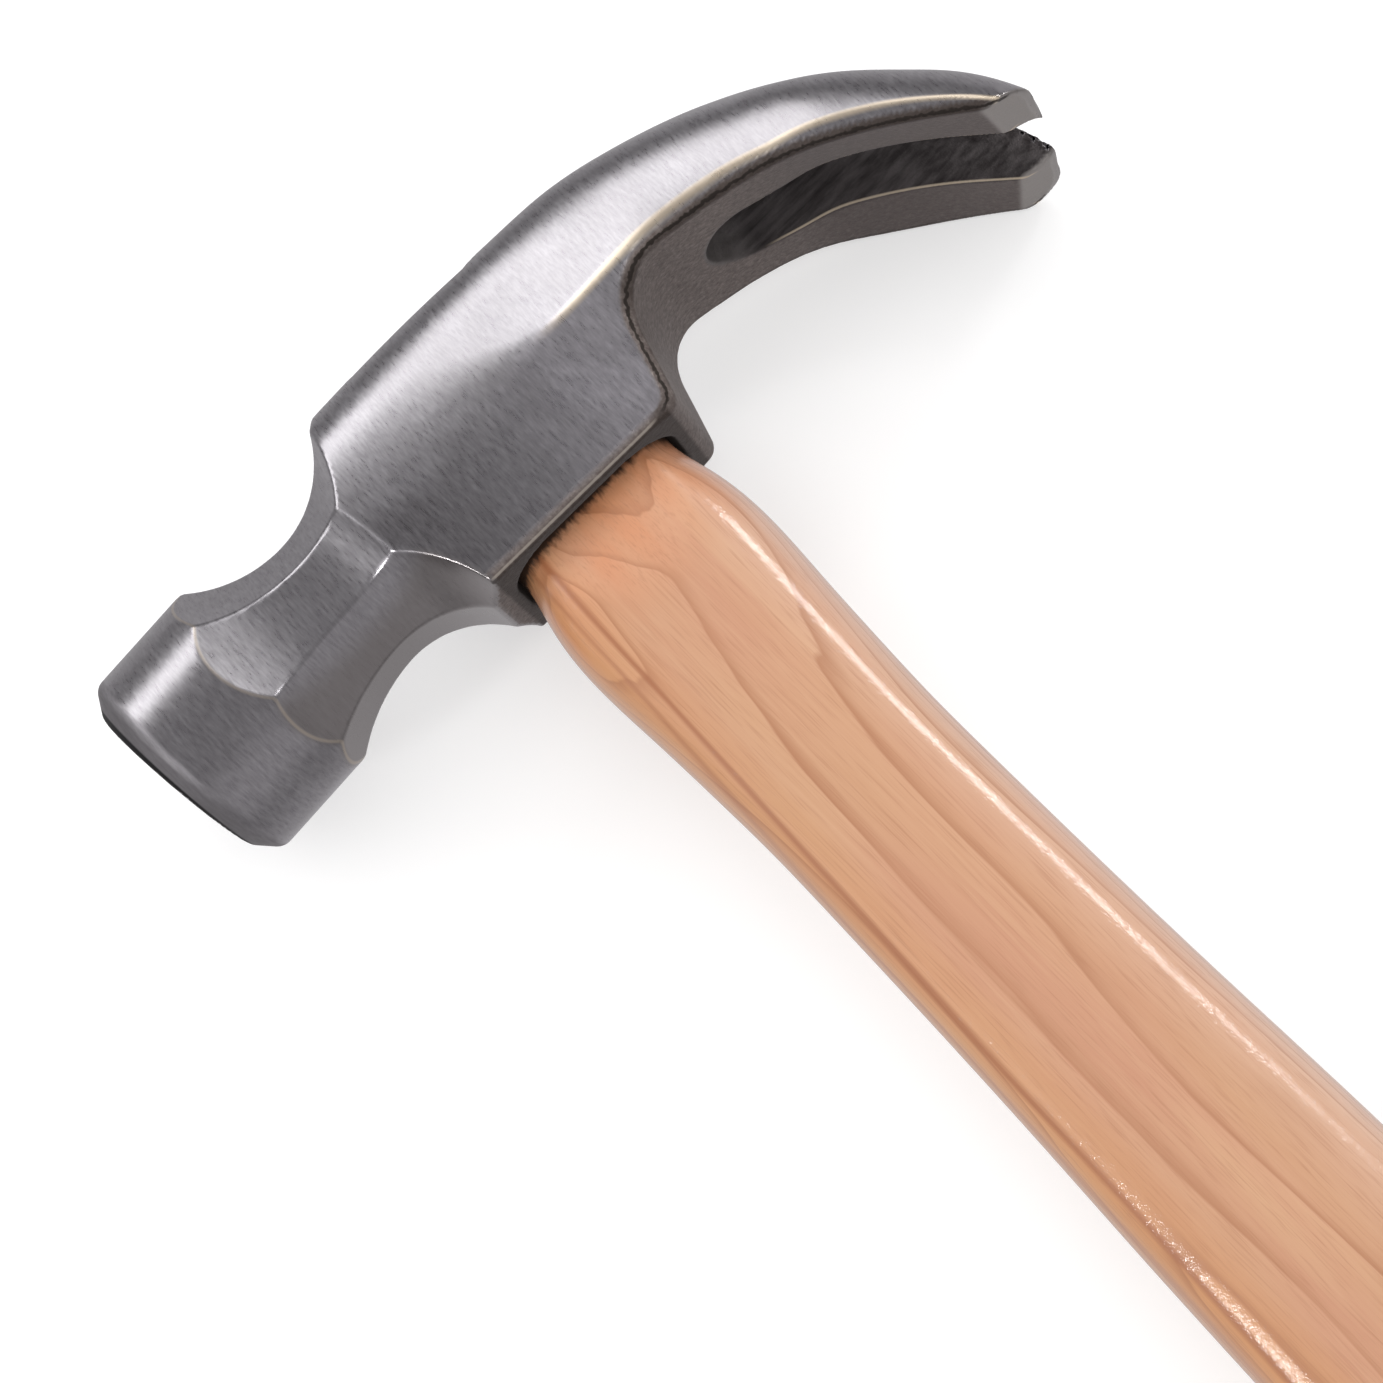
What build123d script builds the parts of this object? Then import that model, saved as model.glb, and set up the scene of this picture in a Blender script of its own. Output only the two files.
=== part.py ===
from build123d import *
import math
import os

# A claw hammer lying on its side: forged steel head, hickory handle, and the wedges that lock it.
# Millimetres. +X points to the claw, +Y to the top of the head, +Z up out of the side it lies on.
# It is drawn about the handle's axis (X 0, Z 0) with the poll's height near Y 0, and moved at the
# end so that the origin is the middle of the underside of the whole hammer's box.

# ---- head: driving dimensions
CHEEK_HALF = 12.3              # half the thickness across the flat cheeks
CHEEK_BOTTOM = -14.0           # lower rim of the eye, where the handle comes out
HEAD_TOP = 20.2                # top of the crown over the handle
SHOULDER_OUT = 0.7             # the crown's shoulder stands this part of the half width from the middle
FACE_X = -57.2                 # striking face
BELL_RADIUS = 14.4
FACE_RIM_IN = 2.9              # ground rim of the striking face, across and along the poll
FACE_RIM_BACK = 1.9
FACE_HEIGHT = -0.1             # height of the middle of the face
POLL_DROOP = 3.9               # degrees that the poll drops towards the handle
NECK_WAIST_X = -28.0           # where the octagonal neck is thinnest
TIP_X = 68.4                   # cutting edge of the claw
TIP_HALF = 19.3                # half the width of the claw at its tip
TIP_HEIGHT = -17.95

# ---- claw slot
SLOT_END_X = 38.0              # centre of the slot's rounded closed end
SLOT_END_TOP_HALF = 0.9
SLOT_TIP_TOP_HALF = 4.65
SLOT_END_UNDER_HALF = 7.2
SLOT_TIP_UNDER_HALF = 8.4

# ---- eye and tenon
EYE_RIM = (25.2, 21.6)         # length and width of the eye's flared mouth at the lower rim
EYE_THROAT = (24.4, 17.2)      # length and width where the flare ends
EYE_THROAT_Y = -10.5
EYE_WAIST = (21.8, 9.8)
EYE_TOP = (23.6, 11.0)
EYE_WAIST_Y = 6.0
TENON_SET_BACK = 0.4           # the tenon's end lies this far under the crown

# ---- wedges
KERF_BOTTOM_Y = -4.0
WOOD_WEDGE_TOP = 2.8
WOOD_WEDGE_FOOT = 0.8
STEEL_WEDGE_X = 6.0            # distance of each steel wedge from the handle's axis
STEEL_WEDGE_DEPTH = 12.0
STEEL_WEDGE_WIDTH = 8.4
STEEL_WEDGE_TOP = 2.2
STEEL_WEDGE_FOOT = 0.6
STEEL_WEDGE_RECESS = 1.2       # the steel wedges are driven this far below the tenon's end
SPARE = 2.0                    # how far cutting shapes run past what they cut

# ---- handle
HAMMER_LENGTH = 330.0
BUTT_Y = HEAD_TOP - HAMMER_LENGTH
BUTT_ROUND = 5.0


def crown_sections():
    """X, half width, underside, foot of the crown, its top, and the part of that rise at its shoulder."""
    return (
        (-30.0, CHEEK_HALF, -3.0, 7.0, 18.6, 0.76),
        (-14.4, CHEEK_HALF, -3.0, 5.6, 19.5, 0.76),
        (0.0, CHEEK_HALF, -3.0, 4.2, HEAD_TOP, 0.76),
        (12.0, CHEEK_HALF, -1.5, 3.3, 19.8, 0.74),
        (20.0, 13.6, -0.2, 3.2, 19.0, 0.70),
        (26.0, 15.0, 0.2, 3.1, 17.9, 0.67),
        (34.0, 15.7, -1.0, 2.0, 15.8, 0.65),
        (42.0, 17.0, -3.4, -0.3, 12.7, 0.63),
        (50.0, 18.8, -7.7, -4.9, 8.2, 0.61),
        (56.0, 19.2, -11.7, -9.0, 2.8, 0.60),
        (61.0, 19.2, -15.5, -13.4, -3.0, 0.59),
        (65.0, TIP_HALF, -20.5, -18.2, -9.2, 0.57),
        (TIP_X + 0.2, TIP_HALF, -26.0, -23.0, -17.8, 0.57),
    )


def underside_hollow(x):
    """How far the middle of the claw's underside is hollowed above its outer edges."""
    return 2.6 * max(0.0, math.sin(math.radians((x - 26.0) / 42.0 * 180.0))) + 0.02


def crown_face(x, half, under, foot, top, shoulder):
    """One cross-section of the head: flat sides, a rounded crown and a slightly hollow underside."""
    plane = Plane(origin=(x, 0, 0), x_dir=(0, 0, -1), z_dir=(1, 0, 0))
    shoulder_y = foot + shoulder * (top - foot)
    out = SHOULDER_OUT * half
    crown = Spline((half, foot), (out, shoulder_y), (0, top), (-out, shoulder_y), (-half, foot))
    left = Line((-half, foot), (-half, under))
    floor = ThreePointArc((-half, under), (0, under + underside_hollow(x)), (half, under))
    right = Line((half, under), (half, foot))
    return plane * make_face(crown + left + floor + right)


def crown_body():
    """The crowned upper half of the head, from the neck to the tips of the claw."""
    return loft([crown_face(*section) for section in crown_sections()])


def eye_block():
    """The lower half of the head round the eye, with its flat cheeks and sloping rear wall."""
    front_x = -30.0
    outline = Polyline((24.0, 0.6), (24.0, 4.0), (front_x, 4.0), (front_x, CHEEK_BOTTOM), (14.4, CHEEK_BOTTOM))
    corner = ThreePointArc((14.4, CHEEK_BOTTOM), (15.15, CHEEK_BOTTOM + 0.35), (15.5, CHEEK_BOTTOM + 1.1))
    rear_wall = Spline((15.5, CHEEK_BOTTOM + 1.1), (17.3, -6.5), (24.0, 0.6), tangents=((0.2, 1.0), (1.0, 0.35)))
    face = make_face(outline + corner + rear_wall)
    return Pos(0, 0, -CHEEK_HALF) * extrude(face, 2 * CHEEK_HALF, dir=(0, 0, 1))


def poll_frame():
    """The poll's own axes: X back along the poll from the middle of the striking face."""
    return Pos(FACE_X, FACE_HEIGHT, 0) * Rot(0, 0, POLL_DROOP)


def bell():
    """The round bell behind the striking face, with its ground rim."""
    length = 32.0
    inner = BELL_RADIUS - FACE_RIM_IN
    half_section = Polyline(
        (0, 0), (0, inner), (FACE_RIM_BACK, BELL_RADIUS), (length, BELL_RADIUS), (length, 0), close=True
    )
    return poll_frame() * revolve(make_face(half_section), Axis.X)


def facet_cutter(waist, bell_side_radius, cheek_side_radius, angle):
    """The wheel that grinds one hollow facet of the neck; angle is measured from the top facet."""
    waist_x = NECK_WAIST_X - FACE_X
    out = 40.0
    bell_rise = 9.0
    run = math.sqrt(bell_side_radius**2 - (bell_side_radius - bell_rise) ** 2)
    half_turn = math.sin(math.radians(45.0))
    start = (waist_x - run, waist + bell_rise)
    middle_run = run * 0.5
    middle_drop = bell_side_radius - math.sqrt(bell_side_radius**2 - middle_run**2)
    bell_arc = ThreePointArc(start, (waist_x - middle_run, waist + middle_drop), (waist_x, waist))
    cheek_arc = ThreePointArc(
        (waist_x, waist),
        (waist_x + cheek_side_radius * half_turn, waist + cheek_side_radius * (1 - half_turn)),
        (waist_x + cheek_side_radius, waist + cheek_side_radius),
    )
    rest = Polyline((waist_x + cheek_side_radius, waist + cheek_side_radius), (waist_x + cheek_side_radius, out),
                    (start[0], out), start)
    profile = make_face(bell_arc + cheek_arc + rest)
    tool = Pos(0, 0, -out) * extrude(profile, 2 * out, dir=(0, 0, 1))
    return poll_frame() * Rot(angle, 0, 0) * tool


def neck_cutters():
    """All eight facets: distance from the poll's axis at the waist, the two hollows' radii, and angle."""
    top = (8.5, 17.0, 15.0)
    upper = (8.8, 21.0, 13.3)
    side = (9.1, 26.0, 11.5)
    lower = (9.8, 24.0, 13.3)
    bottom = (10.3, 24.0, 12.8)
    facets = (
        (*top, 0),
        (*upper, 45),
        (*side, 90),
        (*lower, 135),
        (*bottom, 180),
        (*lower, 225),
        (*side, 270),
        (*upper, 315),
    )
    return [facet_cutter(*facet) for facet in facets]


def slot_face(x, under, top, under_half, top_half):
    """A cross-section of the nail slot, wide at the underside, carried past both faces of the claw."""
    spare = 8.0
    slope = (top_half - under_half) / (top - under)
    plane = Plane(origin=(x, 0, 0), x_dir=(0, 0, -1), z_dir=(1, 0, 0))
    low = under_half - slope * spare
    high = max(top_half + slope * spare, 0.3)
    return plane * make_face(
        Polyline((-low, under - spare), (low, under - spare), (high, top + spare), (-high, top + spare), close=True)
    )


def nail_slot():
    """The tapered nail slot: a V at the crown, a wider round-ended groove at the underside."""
    stations = ((SLOT_END_X, -1.8, 14.3), (50.0, -6.0, 7.6), (61.0, -14.2, -3.1), (TIP_X + 2.0, -20.0, -14.0))
    faces = []
    for x, under, top in stations:
        along = (x - SLOT_END_X) / (TIP_X - SLOT_END_X)
        under_half = SLOT_END_UNDER_HALF + along * (SLOT_TIP_UNDER_HALF - SLOT_END_UNDER_HALF)
        top_half = SLOT_END_TOP_HALF + along * (SLOT_TIP_TOP_HALF - SLOT_END_TOP_HALF)
        faces.append(slot_face(x, under, top, under_half, top_half))
    vee = loft(faces, ruled=True)
    depth = 16.1
    cone = Cone(SLOT_END_UNDER_HALF, SLOT_END_TOP_HALF, depth, align=(Align.CENTER, Align.CENTER, Align.MIN))
    mouth = Pos(0, 0, -8.0) * Cylinder(SLOT_END_UNDER_HALF, 8.0, align=(Align.CENTER, Align.CENTER, Align.MIN))
    end = Pos(SLOT_END_X, -1.8, 0) * Rot(-90, 0, 0) * (cone + mouth)
    return vee + end


def tip_waste():
    """What the bevel ground on the underside of each claw tip takes away."""
    start = (63.2, -17.0)
    slope = (TIP_HEIGHT - start[1]) / (TIP_X - start[0])
    far = TIP_X + 6.0
    outline = Polyline(
        (56.0, start[1] - slope * (start[0] - 56.0)), (far, start[1] + slope * (far - start[0])), (far, -40.0),
        (56.0, -40.0), close=True
    )
    return Pos(0, 0, -30.0) * extrude(make_face(outline), 60.0, dir=(0, 0, 1))


def eye_section(y, size):
    """A rounded rectangle across the eye at height y."""
    length, width = size
    round_off = 0.36           # corner radius as a part of the width
    plane = Plane(origin=(0, y, 0), x_dir=(1, 0, 0), z_dir=(0, 1, 0))
    return plane * RectangleRounded(length, width, round_off * width)


def eye_core():
    """The hourglass through the head that the tenon fills."""
    lower = loft([eye_section(EYE_THROAT_Y, EYE_THROAT), eye_section(EYE_WAIST_Y, EYE_WAIST)])
    upper = loft([eye_section(EYE_WAIST_Y, EYE_WAIST), eye_section(HEAD_TOP + SPARE, EYE_TOP)])
    return lower + upper


def eye_mouth():
    """The flare at the lower rim, which stands open round the handle."""
    return loft([eye_section(CHEEK_BOTTOM - 0.01, EYE_RIM), eye_section(EYE_THROAT_Y, EYE_THROAT)])


def make_head():
    """The forged head: crowned body, eye, octagonal neck, bell and split claw, in one piece."""
    head = crown_body() + eye_block() + bell()
    for cutter in neck_cutters():
        head -= cutter
    head -= tip_waste()
    head -= nail_slot()
    head -= eye_core()
    head -= eye_mouth()
    return head


def make_tenon():
    """The top of the handle inside the eye, trimmed just under the crown."""
    lowered = Pos(0, -TENON_SET_BACK, 0) * crown_body()
    below = Pos(0, -16.0, 0) * Box(40.0, 40.0, 40.0)
    return eye_core() & (lowered + below)


def handle_sections():
    """Height, half width along X and half thickness along Z down the handle, below the head."""
    return (
        (-15.0, 12.2, 8.1),
        (-20.0, 13.7, 9.5),
        (-26.0, 14.0, 10.3),
        (-40.0, 13.4, 10.1),
        (-60.0, 12.75, 9.7),
        (-85.0, 13.15, 9.9),
        (-110.0, 14.1, 10.6),
        (-136.0, 14.9, 11.3),
        (-180.0, 15.6, 11.9),
        (-235.0, 15.0, 11.6),
        (-280.0, 16.2, 12.2),
        (BUTT_Y, 17.0, 12.6),
    )


def handle_face(y, half_x, half_z):
    """A flattened oval cross-section of the handle."""
    plane = Plane(origin=(0, y, 0), x_dir=(1, 0, 0), z_dir=(0, 1, 0))
    return plane * RectangleRounded(2 * half_x, 2 * half_z, 0.72 * half_z)


def steel_wedge(x):
    """A plain steel wedge driven across the wooden one, its head just under the tenon's end."""
    top = HEAD_TOP - TENON_SET_BACK - STEEL_WEDGE_RECESS
    foot = top - STEEL_WEDGE_DEPTH
    outline = Polyline(
        (x - STEEL_WEDGE_TOP / 2, top), (x + STEEL_WEDGE_TOP / 2, top), (x + STEEL_WEDGE_FOOT / 2, foot),
        (x - STEEL_WEDGE_FOOT / 2, foot), close=True
    )
    return Pos(0, 0, -STEEL_WEDGE_WIDTH / 2) * extrude(make_face(outline), STEEL_WEDGE_WIDTH, dir=(0, 0, 1))


def wedge_pocket(x):
    """The cut that a steel wedge makes, open above its head."""
    top = HEAD_TOP - TENON_SET_BACK - STEEL_WEDGE_RECESS
    above = Box(
        STEEL_WEDGE_TOP, STEEL_WEDGE_RECESS + SPARE, STEEL_WEDGE_WIDTH, align=(Align.CENTER, Align.MIN, Align.CENTER)
    )
    return steel_wedge(x) + Pos(x, top, 0) * above


def kerf_core():
    """The tapered saw kerf across the tenon that the wooden wedge fills."""
    top = HEAD_TOP + SPARE
    outline = Polyline(
        (top, -WOOD_WEDGE_TOP / 2), (top, WOOD_WEDGE_TOP / 2), (KERF_BOTTOM_Y, WOOD_WEDGE_FOOT / 2),
        (KERF_BOTTOM_Y, -WOOD_WEDGE_FOOT / 2), close=True
    )
    plane = Plane(origin=(-20.0, 0, 0), x_dir=(0, 1, 0), z_dir=(1, 0, 0))
    return extrude(plane * make_face(outline), 40.0, dir=(1, 0, 0))


def make_handle(tenon, wedge_pockets):
    """The hickory handle in one piece with its tenon, with the kerf and the steel wedges' cuts."""
    shaft = loft([handle_face(*section) for section in handle_sections()])
    butt_edges = shaft.faces().sort_by(Axis.Y)[0].edges()
    shaft = fillet(butt_edges, BUTT_ROUND)
    root = loft([eye_section(EYE_THROAT_Y, EYE_THROAT), handle_face(*handle_sections()[0])])
    handle = shaft + root + tenon
    handle -= kerf_core()
    for pocket in wedge_pockets:
        handle -= pocket
    return handle


def make_wood_wedge(tenon, wedge_pockets):
    """The hardwood wedge in the kerf, split by the steel wedges."""
    wedge = kerf_core() & tenon
    for pocket in wedge_pockets:
        wedge -= pocket
    return wedge


tenon = make_tenon()
wedge_pockets = [wedge_pocket(-STEEL_WEDGE_X), wedge_pocket(STEEL_WEDGE_X)]
pieces = {
    "hammer_head": make_head(),
    "handle": make_handle(tenon, wedge_pockets),
    "wood_wedge": make_wood_wedge(tenon, wedge_pockets),
    "steel_wedge_poll_side": steel_wedge(-STEEL_WEDGE_X),
    "steel_wedge_claw_side": steel_wedge(STEEL_WEDGE_X),
}

whole = Compound(children=[Part() + piece for piece in pieces.values()])
box = whole.bounding_box()
seat = Pos(-(box.min.X + box.max.X) / 2, -(box.min.Y + box.max.Y) / 2, -box.min.Z)
print("moved by", seat.position, "size", box.size)

os.makedirs("parts", exist_ok=True)
for name, piece in pieces.items():
    export_step(seat * piece, f"parts/{name}.step")
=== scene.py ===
import math

import bmesh
import bpy
import numpy as np
from mathutils import Euler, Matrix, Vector


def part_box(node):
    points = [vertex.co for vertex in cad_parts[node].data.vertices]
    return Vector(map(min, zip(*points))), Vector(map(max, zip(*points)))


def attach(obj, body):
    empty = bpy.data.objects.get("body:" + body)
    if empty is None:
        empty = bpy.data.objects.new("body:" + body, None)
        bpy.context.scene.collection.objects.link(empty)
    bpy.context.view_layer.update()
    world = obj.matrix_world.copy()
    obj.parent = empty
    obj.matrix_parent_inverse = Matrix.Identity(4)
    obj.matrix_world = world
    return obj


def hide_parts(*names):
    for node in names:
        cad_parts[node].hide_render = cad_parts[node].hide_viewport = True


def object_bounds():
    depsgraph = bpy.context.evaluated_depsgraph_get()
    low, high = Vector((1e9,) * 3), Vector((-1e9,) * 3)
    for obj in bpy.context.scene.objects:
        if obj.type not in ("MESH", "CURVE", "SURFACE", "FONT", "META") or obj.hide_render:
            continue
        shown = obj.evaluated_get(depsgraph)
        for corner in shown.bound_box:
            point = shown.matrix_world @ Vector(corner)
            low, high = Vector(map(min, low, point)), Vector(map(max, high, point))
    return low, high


# A claw hammer lying on its side: forged steel head, hickory handle, wooden and steel wedges.
# Shapes are worked out in millimetres about the handle's axis, X towards the claw, Y towards the top
# of the head and Z out of the upper cheek, and put in the row's frame, in metres, at the end.

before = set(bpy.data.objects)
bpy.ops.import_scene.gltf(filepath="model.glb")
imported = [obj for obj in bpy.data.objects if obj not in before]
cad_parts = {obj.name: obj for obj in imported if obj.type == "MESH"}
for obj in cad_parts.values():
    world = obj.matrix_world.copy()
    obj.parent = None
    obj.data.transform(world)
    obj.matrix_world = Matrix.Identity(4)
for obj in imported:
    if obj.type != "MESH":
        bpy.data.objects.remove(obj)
cad_low, cad_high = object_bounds()

MM = 0.001

# ---- head
CHEEK_HALF = 12.3
CHEEK_BOTTOM = -14.0
HEAD_TOP = 20.2
FACE_X = -56.95
FACE_HEIGHT = -0.1
BELL_RADIUS = 14.4
BELL_LENGTH = 32.0
FACE_FLAT_RADIUS = 11.4
FACE_TILT = math.radians(1.4)
FACE_RIM_BACK = 2.3
POLL_DROOP = math.radians(3.9)
NECK_WAIST_X = -28.0
REAR_WALL_X = 15.8
REAR_WALL_SLOPE = 0.29
TIP_X = 68.4
TIP_HEIGHT = -17.95
BEVEL_START = (63.2, -17.0)
CROWN_RADIUS = 16.5
CROWN_LEAN = math.radians(17.0)
HEAD_MESH_STEP = 0.45
HEAD_BOX_LOW = (-58.4, -20.3)
HEAD_BOX_HIGH = (70.0, 21.5)
HEAD_BOX_HALF_Z = 20.0

# ---- claw slot
SLOT_END_X = 36.8
SLOT_TOP_HALF = (0.9, 4.65)
SLOT_UNDER_HALF = (7.2, 8.4)
SLOT_SHIFT = 0.5
SLOT_WALL_COSINE = 0.93

# ---- eye: height, half length along X, half width along Z
EYE_LEVELS = ((-14.2, 12.6, 10.0), (-10.5, 12.2, 8.6), (6.0, 10.9, 4.9), (22.2, 11.8, 5.5))

# ---- handle
BUTT_Y = HEAD_TOP - 330.0
BUTT_ROUND = 5.0
FLAT_RADIUS = 42.0
FLAT_CENTRE_X = 1.5
SHOULDER_Y = -26.5
SHOULDER_HALF_Z = 10.4
SHOULDER_SLOPE = 0.17
GRIP_END_Y = -34.0
ROOT_END_Y = -8.0
HANDLE_COLUMNS = 192
TENON_SET_BACK = 0.4
FIT_GAP = 0.05

# ---- cuts in the tenon for the wedges: height and half thickness at the foot and at the top, half width
KERF = ((-4.0, 0.4), (22.2, 1.4), 20.0)
POCKET = ((6.6, 0.3), (18.6, 1.1), 4.2)
POCKET_X = 6.0
CUT_SPARE = 0.04

# ---- camera: its place about the handle's axis, its turn in degrees, its lens
CAMERA_PLACE = (-1.5, -170.0, 465.3)
CAMERA_TURN = (11.24, 11.57, -43.14)
CAMERA_LENS = 109.93

# ---- studio light: degrees round the head's length, 0 overhead and minus towards the butt, and the shade
WORLD_SHADES = (
    (-180, 0.62), (-135, 0.42), (-108, 0.30), (-84, 0.48), (-60, 0.46), (-40, 0.34), (0, 0.30),
    (50, 0.32), (72, 0.20), (92, 0.22), (110, 0.48), (180, 0.62),
)


# ------------------------------------------------------------------ shapes as fields

def through(*points):
    """A smooth curve through (place, value) points: a natural cubic spline."""
    place, value = np.array(points, float).T
    gap = np.diff(place)
    size = len(place)
    matrix = np.eye(size)
    right = np.zeros(size)
    for i in range(1, size - 1):
        matrix[i, i - 1:i + 2] = gap[i - 1], 2 * (gap[i - 1] + gap[i]), gap[i]
        right[i] = 6 * ((value[i + 1] - value[i]) / gap[i] - (value[i] - value[i - 1]) / gap[i - 1])
    bend = np.linalg.solve(matrix, right)

    def at(x):
        x = np.clip(x, place[0], place[-1])
        i = np.clip(np.searchsorted(place, x) - 1, 0, size - 2)
        left, rest, g = x - place[i], place[i + 1] - x, gap[i]
        cubic = (bend[i] * rest**3 + bend[i + 1] * left**3) / (6 * g)
        cubic = cubic + (value[i] / g - bend[i] * g / 6) * rest
        return cubic + (value[i + 1] / g - bend[i + 1] * g / 6) * left

    return at


def ramp(x, start, end):
    """0 before start, 1 after end, smooth between."""
    t = np.clip((x - start) / (end - start), 0.0, 1.0)
    return t * t * (3 - 2 * t)


def smooth_max(a, b, reach):
    overlap = np.maximum(reach - np.abs(a - b), 0.0)
    return np.maximum(a, b) + overlap**2 / (4.0 * reach)


def smooth_min(a, b, reach):
    return -smooth_max(-a, -b, reach)


# Half the head's width, and the heights of the crown's top, of its foot and of the claw's underside, by X.
HALF_WIDTH = through(
    (-60, CHEEK_HALF), (5, CHEEK_HALF), (12, 12.35), (20, 13.6), (26, 15.1), (32, 15.6), (36, 16.0),
    (40, 16.6), (44, 17.5), (48, 18.5), (52, 19.05), (58, 19.25), (75, 19.25),
)
CROWN_TOP = through(
    (-35, 18.2), (-14.4, 19.55), (4, 20.1), (14, 19.85), (22, 19.25), (30, 17.5), (38, 14.8),
    (46, 10.6), (51, 6.7), (56, 2.0), (61, -3.5), (65, -8.7), (67.05, -13.2), (68.02, -16.4), (70, -26.0),
)
CROWN_FOOT = through(
    (-35, 8.5), (-21.7, 7.1), (-12, 5.4), (0, 4.2), (10, 3.3), (20, 3.2), (30, 2.8), (40, 0.5),
    (50, -4.9), (60, -12.2), (64, -16.3), (67.3, -19.9), (70, -23.0),
)
UNDER_EDGE = through(
    (10, -0.6), (20, 0.4), (24, 0.8), (28, 0.4), (32, -0.3), (36, -1.2), (40, -2.4), (44, -4.2),
    (48, -6.6), (52, -9.2), (56, -12.0), (60, -15.0), (63, -17.4), (70, -23.3),
)
# How much higher the claw's underside is at the slot than at its edge.
UNDER_HOLLOW = through(
    (20, 0.0), (30, 0.2), (34, 0.4), (42, 0.7), (46, 1.7), (50, 2.1), (54, 2.1), (58, 1.8), (62, 1.2),
    (70, 0.6),
)
# Neck facets: degrees from the top, waist from the axis, hollow's radius on the bell's and cheeks' side.
NECK_FACETS = (
    (0, 8.5, 17.0, 15.5), (45, 8.8, 21.0, 13.6), (90, 9.1, 26.0, 11.5), (135, 9.8, 24.0, 13.3),
    (180, 10.3, 24.0, 12.8),
)


def slope_of(curve, x):
    """One over the length of a step along the curve for a unit step in x."""
    rise = curve(x + 0.5) - curve(x - 0.5)
    return 1.0 / np.sqrt(1.0 + rise**2)


def poll_axes(x, y):
    """Distance back along the poll from the face, and height above the poll's axis."""
    back = (x - FACE_X) * math.cos(POLL_DROOP) + (y - FACE_HEIGHT) * math.sin(POLL_DROOP)
    height = (y - FACE_HEIGHT) * math.cos(POLL_DROOP) - (x - FACE_X) * math.sin(POLL_DROOP)
    return back, height


def crown_term(x, y, z):
    """The rounded crown: an arc across the head, met by planes that lean in from the cheeks."""
    half, top, foot = HALF_WIDTH(x), CROWN_TOP(x), CROWN_FOOT(x)
    rise = top - foot
    claw = ramp(x, 14.0, 44.0)
    radius = CROWN_RADIUS * (1 - claw) + claw * (half**2 + rise**2) / (2 * rise)
    tip = ramp(x, 42.0, 58.0)
    radius = radius * (1 + 0.09 * ramp(x, 16.0, 28.0) * (1 - tip) + 0.7 * tip)
    arc = (np.hypot(z, np.maximum(y - (top - radius), 0.0)) - radius) * slope_of(CROWN_TOP, x)
    lean = (z - half) * math.cos(CROWN_LEAN) + (y - foot) * math.sin(CROWN_LEAN)
    return smooth_max(arc, lean, 3.6 - 1.2 * ramp(x, 14.0, 42.0) + 1.4 * tip)


def side_term(x, z):
    return z - HALF_WIDTH(x)


def lower_term(x, y, z):
    """The underside of the claw and, below it, the sloping rear wall and rim of the eye."""
    half = HALF_WIDTH(x)
    inward = np.clip((half - z) / (half - SLOT_UNDER_HALF[0]), 0.0, 1.4)
    under = (UNDER_EDGE(x) + UNDER_HOLLOW(x) * inward - y) * slope_of(UNDER_EDGE, x)
    rear = (x - REAR_WALL_X - REAR_WALL_SLOPE * (y - CHEEK_BOTTOM - 1.0)) / math.hypot(1.0, REAR_WALL_SLOPE)
    block = smooth_max(rear, CHEEK_BOTTOM - y, 1.8)
    return smooth_min(under, block, 5.5)


def slot_gap(x, y):
    """Half the width of the nail slot: a V at the crown, a wider groove at the underside."""
    along = np.clip((x - SLOT_END_X) / (TIP_X - SLOT_END_X), 0.0, 1.2)
    at_top = SLOT_TOP_HALF[0] + along * (SLOT_TOP_HALF[1] - SLOT_TOP_HALF[0])
    at_under = SLOT_UNDER_HALF[0] + along * (SLOT_UNDER_HALF[1] - SLOT_UNDER_HALF[0])
    top = CROWN_TOP(np.maximum(x, SLOT_END_X))
    under = UNDER_EDGE(np.maximum(x, SLOT_END_X)) + UNDER_HOLLOW(x)
    depth = np.clip((top - y) / np.maximum(top - under, 1.0), -0.2, 1.15)
    return np.maximum(at_top + depth * (at_under - at_top), 0.25)


def slot_term(x, y, z):
    return (slot_gap(x, y) - np.hypot(np.minimum(x - SLOT_END_X, 0.0), z)) * SLOT_WALL_COSINE


def bevel_term(x, y):
    slope = (TIP_HEIGHT - BEVEL_START[1]) / (TIP_X - BEVEL_START[0])
    plane = (BEVEL_START[1] + slope * (x - BEVEL_START[0]) - y) / math.hypot(1.0, slope)
    return plane - 40.0 * ramp(-x, -50.0, -40.0)


def eye_sizes(y, shrink=0.0):
    height, half_x, half_z = np.array(EYE_LEVELS).T
    return np.interp(y, height, half_x) - shrink, np.interp(y, height, half_z) - shrink


def eye_term(x, y, z, shrink=0.0):
    """Distance outside the eye's rounded rectangle, negative inside it."""
    half_x, half_z = eye_sizes(y, shrink)
    corner = 0.72 * half_z
    out_x, out_z = np.abs(x) - half_x + corner, np.abs(z) - half_z + corner
    outside = np.hypot(np.maximum(out_x, 0.0), np.maximum(out_z, 0.0))
    return outside + np.minimum(np.maximum(out_x, out_z), 0.0) - corner


def bell_term(back, height, z):
    reach = np.hypot(height, z)
    from_face = back * math.cos(FACE_TILT) + height * math.sin(FACE_TILT)
    rim_in = BELL_RADIUS - FACE_FLAT_RADIUS
    rim = (reach - FACE_FLAT_RADIUS) * FACE_RIM_BACK - from_face * rim_in
    rim = rim / math.hypot(FACE_RIM_BACK, rim_in)
    bell = smooth_max(reach - BELL_RADIUS, rim, 0.8)
    bell = smooth_max(bell, -from_face, 0.4)
    return np.maximum(bell, back - BELL_LENGTH)


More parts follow.
